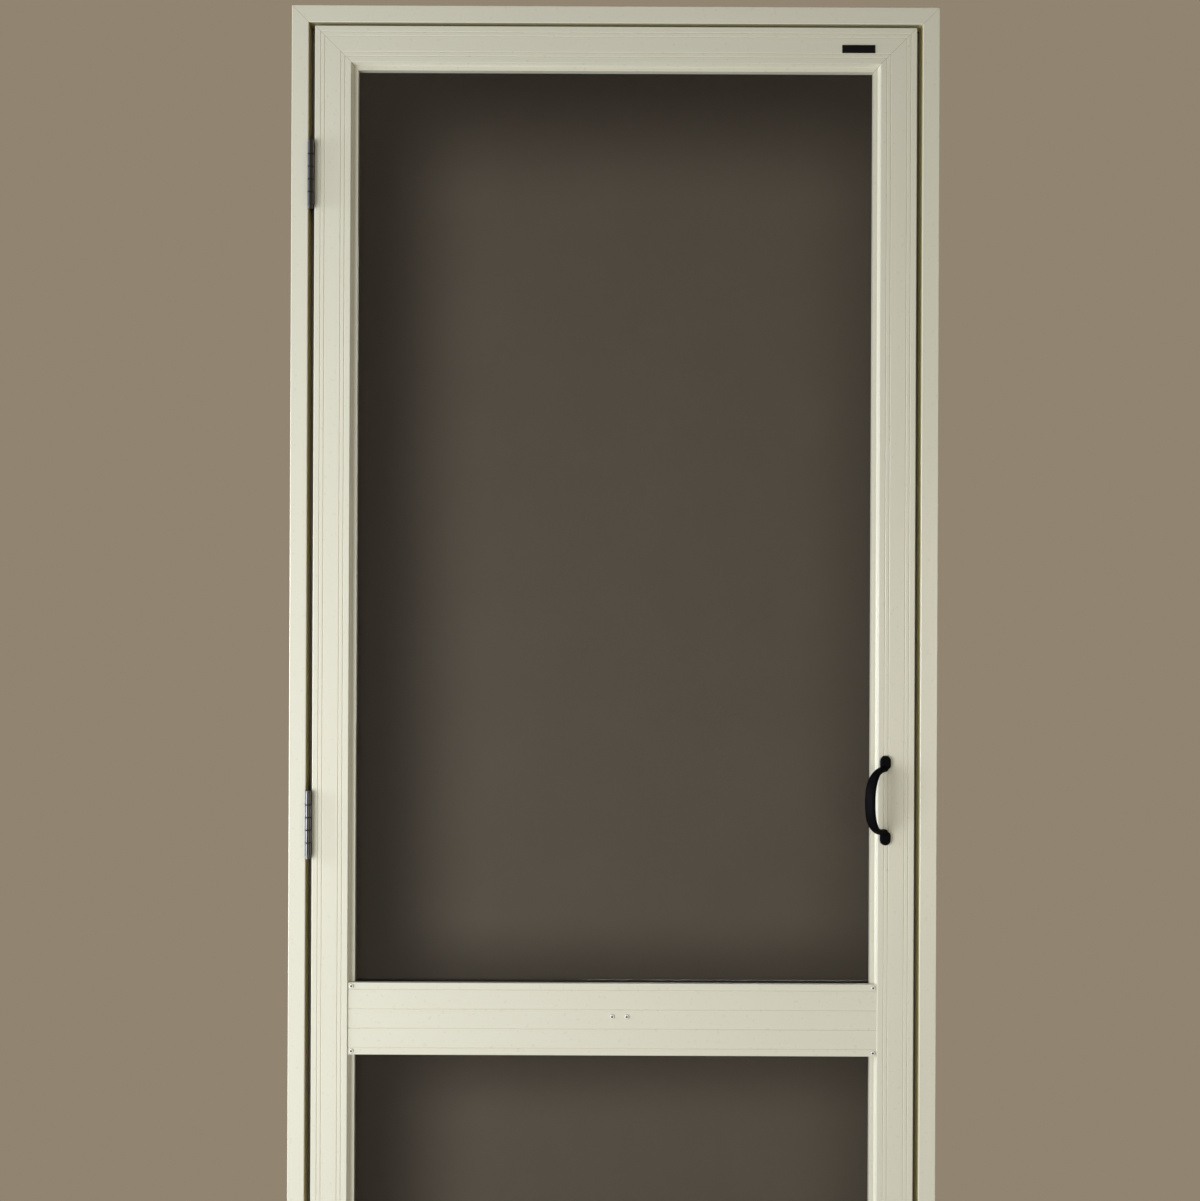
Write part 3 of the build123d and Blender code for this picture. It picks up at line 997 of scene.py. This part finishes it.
def scatter(shape, spots, z_dir, seed, smallest, material):
    """Plain mesh of one shape set on all the spots, its Z along a direction."""
    points = bpy.data.meshes.new("spots")
    points.from_pydata([tuple(spot) for spot in spots], [], [])
    x_dir = RIGHT if abs(z_dir.x) < 0.5 else UP
    values = {
        "Shape": shape,
        "Turn": facing(z_dir, x_dir),
        "Smallest": smallest,
        "Seed": seed,
        "Material": material,
    }
    bpy.context.scene.collection.objects.link(shape)
    mesh = run_tree(scatter_tree(), values, points)
    bpy.data.objects.remove(shape)
    return mesh


def add_screws(name, head, spots, z_dir, body, material):
    """Set a screw head on all the spots, as one piece."""
    mesh = scatter(head, spots, z_dir, seed=7, smallest=1.0, material=material)
    return add_piece(name, mesh, body)


class DOOR_OT_rail_screws(bpy.types.Operator):
    """Set the six pan heads on the middle rail and the two behind the handle"""

    bl_idname = "door.rail_screws"
    bl_label = "Rail and handle screws"

    def execute(self, context):
        radius = context.scene.door_sizes.rail_screw_radius
        rail_low, rail_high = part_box("mid_rail_front")
        spots = [
            Vector((x, rail_low.y, z))
            for x in (rail_low.x + RAIL_SCREW_FROM_END, rail_high.x - RAIL_SCREW_FROM_END)
            for z in (rail_low.z + RAIL_SCREW_FROM_EDGE, rail_high.z - RAIL_SCREW_FROM_EDGE)
        ]
        centre_x = (rail_low.x + rail_high.x) / 2
        level = (rail_low.z + rail_high.z) / 2 + MIDDLE_SCREW_RISE
        for shift in (0.0, MIDDLE_SCREW_GAP):
            spots.append(Vector((centre_x + shift, rail_low.y, level)))
        cream = screw_material("rail screws", RAIL_SCREW_PAINT)
        head = screw_head(radius, height=1.3 * MM)
        add_screws("rail_screws", head, spots, -BACK, LEAF_BODY, cream)
        handle_low, handle_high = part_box("pull_handle")
        stile_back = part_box("leaf_latch_stile")[1].y
        middle = (handle_low.z + handle_high.z) / 2
        foot_x = handle_high.x - HANDLE_SCREW_INSET
        spots = [
            Vector((foot_x, stile_back, middle + shift))
            for shift in (-HANDLE_SCREW_SPREAD, HANDLE_SCREW_SPREAD)
        ]
        black = screw_material("handle screws", HANDLE_SCREW_BLACK)
        head = screw_head(radius, height=1.6 * MM)
        add_screws("handle_screws", head, spots, BACK, LEAF_BODY, black)
        return {"FINISHED"}


class DOOR_OT_fixing_screws(bpy.types.Operator):
    """Set the screws that fix the frame to the wall"""

    bl_idname = "door.fixing_screws"
    bl_label = "Fixing screws"

    def execute(self, context):
        low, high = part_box("frame_head")
        stop_front = high.y - STOP_DEPTH
        spots = [
            Vector((x, stop_front, z))
            for x in (low.x + FIXING_INSET, high.x - FIXING_INSET)
            for z in FIXING_LEVELS
        ]
        for x in (low.x + HEAD_FIXING_FROM_END, high.x - HEAD_FIXING_FROM_END):
            spots.append(Vector((x, stop_front, high.z - FIXING_INSET)))
        cream = screw_material("fixing screws", FIXING_SCREW_PAINT)
        head = screw_head(context.scene.door_sizes.fixing_screw_radius, height=0.7 * MM)
        add_screws("frame_fixing_screws", head, spots, -BACK, FRAME_BODY, cream)
        return {"FINISHED"}


class DOOR_OT_hinge_screws(bpy.types.Operator):
    """Set the three black screws of every hinge plate"""

    bl_idname = "door.hinge_screws"
    bl_label = "Hinge screws"

    def execute(self, context):
        radius = context.scene.door_sizes.hinge_screw_radius
        black = screw_material("hinge screws", HINGE_SCREW_BLACK)
        for part, body, z_dir in (("frame", FRAME_BODY, RIGHT), ("leaf", LEAF_BODY, -RIGHT)):
            spots = []
            for place in HINGES:
                low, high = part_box(f"hinge_{place}_{part}_plate")
                outer = low.x if part == "frame" else high.x
                for row in (-1, 0, 1):
                    stagger = HINGE_SCREW_STAGGER * (1 - 2 * abs(row))
                    y = high.y - HINGE_SCREW_FROM_BACK + stagger
                    level = (low.z + high.z) / 2 + row * HINGE_SCREW_ROW
                    spots.append(Vector((outer + z_dir.x * HINGE_PLATE_THICKNESS, y, level)))
            head = screw_head(radius, height=0.35 * MM)
            add_screws(f"hinge_{part}_screws", head, spots, z_dir, body, black)
        return {"FINISHED"}


def row_of_spots(start, run, pitch):
    """Spots along a run from its start, at about a pitch."""
    count = max(2, round(run.length / pitch))
    return [start + run * ((i + 0.5) / count) for i in range(count)]


class DOOR_OT_name_plate(bpy.types.Operator):
    """Set the blank plate on the top rail"""

    bl_idname = "door.name_plate"
    bl_label = "Blank plate"

    def execute(self, context):
        sizes = context.scene.door_sizes
        low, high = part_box("leaf_top_rail")
        centre_x = (low.x + high.x) / 2 + PLATE_FROM_MIDDLE
        centre_z = high.z - PLATE_FROM_TOP
        bm = bmesh.new()
        bmesh.ops.create_cube(bm, size=1.0)
        scale = Matrix.Diagonal((sizes.plate_length, PLATE_THICKNESS, sizes.plate_height, 1.0))
        move = Matrix.Translation((centre_x, low.y - PLATE_THICKNESS / 2, centre_z))
        bmesh.ops.transform(bm, matrix=move @ scale, verts=bm.verts)
        bmesh.ops.bevel(
            bm, geom=bm.edges[:], offset=PLATE_EDGE, segments=3, affect="EDGES", clamp_overlap=True
        )
        mesh = bpy.data.meshes.new("blank_plate")
        bm.to_mesh(mesh)
        bm.free()
        enamel = enamel_material("black enamel plate", gloss=0.2)
        add_piece("blank_plate", mesh, LEAF_BODY, enamel)
        return {"FINISHED"}


class DOOR_OT_screen_cord(bpy.types.Operator):
    """Give the cords in the screen channel their rubber"""

    bl_idname = "door.screen_cord"
    bl_label = "Screen cord"

    def execute(self, context):
        rubber = rubber_material("ribbed rubber")
        for node in SPLINES:
            dress(node, rubber)
        return {"FINISHED"}


class DOOR_OT_seals(bpy.types.Operator):
    """Give the pile seals and the sweep brush their fibres"""

    bl_idname = "door.seals"
    bl_label = "Seals and brush"

    def execute(self, context):
        fibre = fibre_material("dark fibre")
        for node in ("seal_head", "seal_hinge_side", "seal_latch_side", "sweep_brush"):
            dress(node, fibre)
        pitch = context.scene.door_sizes.tuft_pitch
        spots = []
        for node in ("seal_hinge_side", "seal_latch_side"):
            low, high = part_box(node)
            centre = (low.x + high.x) / 2
            for shift in (-PILE_ROW, PILE_ROW):
                start = Vector((centre + shift, low.y + PILE_ROOT, low.z + PILE_ENDS / 4))
                spots += row_of_spots(start, UP * (high.z - low.z - PILE_ENDS), pitch)
        low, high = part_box("seal_head")
        centre = (low.z + high.z) / 2
        for shift in (-PILE_ROW, PILE_ROW):
            start = Vector((low.x + PILE_ENDS / 2, low.y + PILE_ROOT, centre + shift))
            spots += row_of_spots(start, RIGHT * (high.x - low.x - PILE_ENDS), pitch)
        pile = tuft(PILE_LENGTH, spread=0.8 * MM)
        mesh = scatter(pile, spots, -BACK, seed=11, smallest=0.8, material=fibre)
        add_piece("seal_fibres", mesh, FRAME_BODY)
        low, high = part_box("sweep_brush")
        centre = (low.y + high.y) / 2
        spots = []
        for shift in (-BRUSH_ROW, BRUSH_ROW):
            start = Vector((low.x + BRUSH_ENDS / 2, centre + shift, low.z + BRUSH_ROOT))
            spots += row_of_spots(start, RIGHT * (high.x - low.x - BRUSH_ENDS), pitch * 0.75)
        bristles = tuft(BRUSH_LENGTH, spread=1.0 * MM)
        mesh = scatter(bristles, spots, -UP, seed=13, smallest=0.82, material=fibre)
        add_piece("sweep_bristles", mesh, LEAF_BODY)
        return {"FINISHED"}


class DOOR_OT_stage(bpy.types.Operator):
    """Build the pale floor, the studio light and the camera"""

    bl_idname = "door.stage"
    bl_label = "Stage"

    def execute(self, context):
        make_floor()
        make_world()
        make_lamps()
        make_camera()
        context.scene.view_settings.view_transform = "Standard"
        return {"FINISHED"}


def make_floor():
    """A plain pale floor under the door, short enough behind it to stay out of the photo's view."""
    low, high = CAD_BOX
    material, book, shader = new_material("pale floor")
    grain = book.noise(object_place(book), scale=35.0, detail=5.0)
    colour = tuple(bpy.context.scene.door_colours.floor)
    base = book.mix(grain, shade(colour, 0.97), shade(colour, 1.03))
    book.connect(base, shader.inputs["Base Color"])
    set_constants(shader, Roughness=0.8)
    left, right = low.x - FLOOR_SIDE, high.x + FLOOR_SIDE
    front, back = low.y - FLOOR_FRONT, high.y + FLOOR_BEHIND
    corners = [(left, front), (right, front), (right, back), (left, back)]
    mesh = bpy.data.meshes.new("pale_floor")
    mesh.from_pydata([(px, py, low.z) for px, py in corners], [], [(0, 1, 2, 3)])
    mesh.materials.append(material)
    floor = bpy.data.objects.new("pale_floor", mesh)
    bpy.context.scene.collection.objects.link(floor)


def make_world():
    """Soft even light, with the backdrop's colour where the camera and the gloss look past the door."""
    world = bpy.data.worlds.new("studio")
    world.use_nodes = True
    bpy.context.scene.world = world
    book = Book(world.node_tree)
    world.node_tree.nodes.clear()
    path = book.add("ShaderNodeLightPath")
    seen = path.other("Is Camera Ray").most(path.other("Is Transmission Ray"))
    seen = seen.most(path.other("Is Glossy Ray"))
    colour = tuple(bpy.context.scene.door_colours.backdrop)
    soft = {"Color": WORLD_COLOUR, "Strength": WORLD_STRENGTH}
    light = book.add("ShaderNodeBackground", None, soft)
    backdrop = book.add("ShaderNodeBackground", None, {"Color": colour, "Strength": 1.0})
    both = book.add("ShaderNodeMixShader", None, {0: seen, 1: light, 2: backdrop})
    book.add("ShaderNodeOutputWorld", None, {"Surface": both})


def make_lamps():
    """Two window-like lamps at the left, a weaker one in front at the right and one behind."""
    middle = (CAD_BOX[0] + CAD_BOX[1]) / 2
    under = Vector((middle.x, middle.y, 0.0))
    for name, place, target, (width, height), power, colour, spread in LAMPS:
        lamp = bpy.data.lights.new(name, "AREA")
        lamp.shape = "RECTANGLE"
        lamp.size = width
        lamp.size_y = height
        lamp.energy = power
        lamp.color = colour
        lamp.spread = math.radians(spread)
        obj = bpy.data.objects.new(name, lamp)
        obj.location = under + Vector(place)
        direction = Vector(target) - Vector(place)
        obj.rotation_euler = direction.to_track_quat("-Z", "Y").to_euler()
        bpy.context.scene.collection.objects.link(obj)


def make_camera():
    """The photograph's view: level, straight at the door, from just under two metres."""
    leaf_low, leaf_high = leaf_box()
    camera = bpy.data.cameras.new("camera")
    camera.sensor_width = 36.0
    camera.angle = 2 * math.atan(PICTURE_WIDTH / 2 / CAMERA_DISTANCE)
    camera.clip_start = 0.05
    obj = bpy.data.objects.new("camera", camera)
    x = (leaf_low.x + leaf_high.x) / 2 + CAMERA_SHIFT
    y = CAD_BOX[0].y + FACE_BEHIND_HANDLE - CAMERA_DISTANCE
    obj.location = (x, y, CAMERA_LEVEL)
    level = Matrix.Rotation(math.radians(90), 4, "X")
    roll = Matrix.Rotation(math.radians(CAMERA_ROLL), 4, "Z")
    obj.rotation_euler = (level @ roll).to_euler()
    bpy.context.scene.collection.objects.link(obj)
    bpy.context.scene.camera = obj


STEPS = (
    DOOR_OT_paint,
    DOOR_OT_hinges,
    DOOR_OT_woven_screen,
    DOOR_OT_rail_screws,
    DOOR_OT_fixing_screws,
    DOOR_OT_hinge_screws,
    DOOR_OT_pull_handle,
    DOOR_OT_name_plate,
    DOOR_OT_screen_cord,
    DOOR_OT_seals,
    DOOR_OT_stage,
)


class DOOR_PT_panel(bpy.types.Panel):
    """Lists the sizes, the colours and the steps of the door's finish"""

    bl_idname = "DOOR_PT_panel"
    bl_label = "Fly screen door"
    bl_space_type = "VIEW_3D"
    bl_region_type = "UI"
    bl_category = "Screen Door"

    def draw(self, context):
        for group in (context.scene.door_sizes, context.scene.door_colours):
            for name in group.bl_rna.properties.keys():
                if name not in ("rna_type", "name"):
                    self.layout.prop(group, name)
        for step in STEPS:
            self.layout.operator(step.bl_idname)


CLASSES = (DoorSizes, DoorColours, *STEPS, DOOR_PT_panel)


def register():
    for cls in CLASSES:
        bpy.utils.register_class(cls)
    bpy.types.Scene.door_sizes = bpy.props.PointerProperty(type=DoorSizes)
    bpy.types.Scene.door_colours = bpy.props.PointerProperty(type=DoorColours)


def unregister():
    del bpy.types.Scene.door_colours
    del bpy.types.Scene.door_sizes
    for cls in reversed(CLASSES):
        bpy.utils.unregister_class(cls)


def main():
    register()
    for step in STEPS:
        area, name = step.bl_idname.split(".")
        getattr(getattr(bpy.ops, area), name)()


if __name__ == "__main__":
    main()
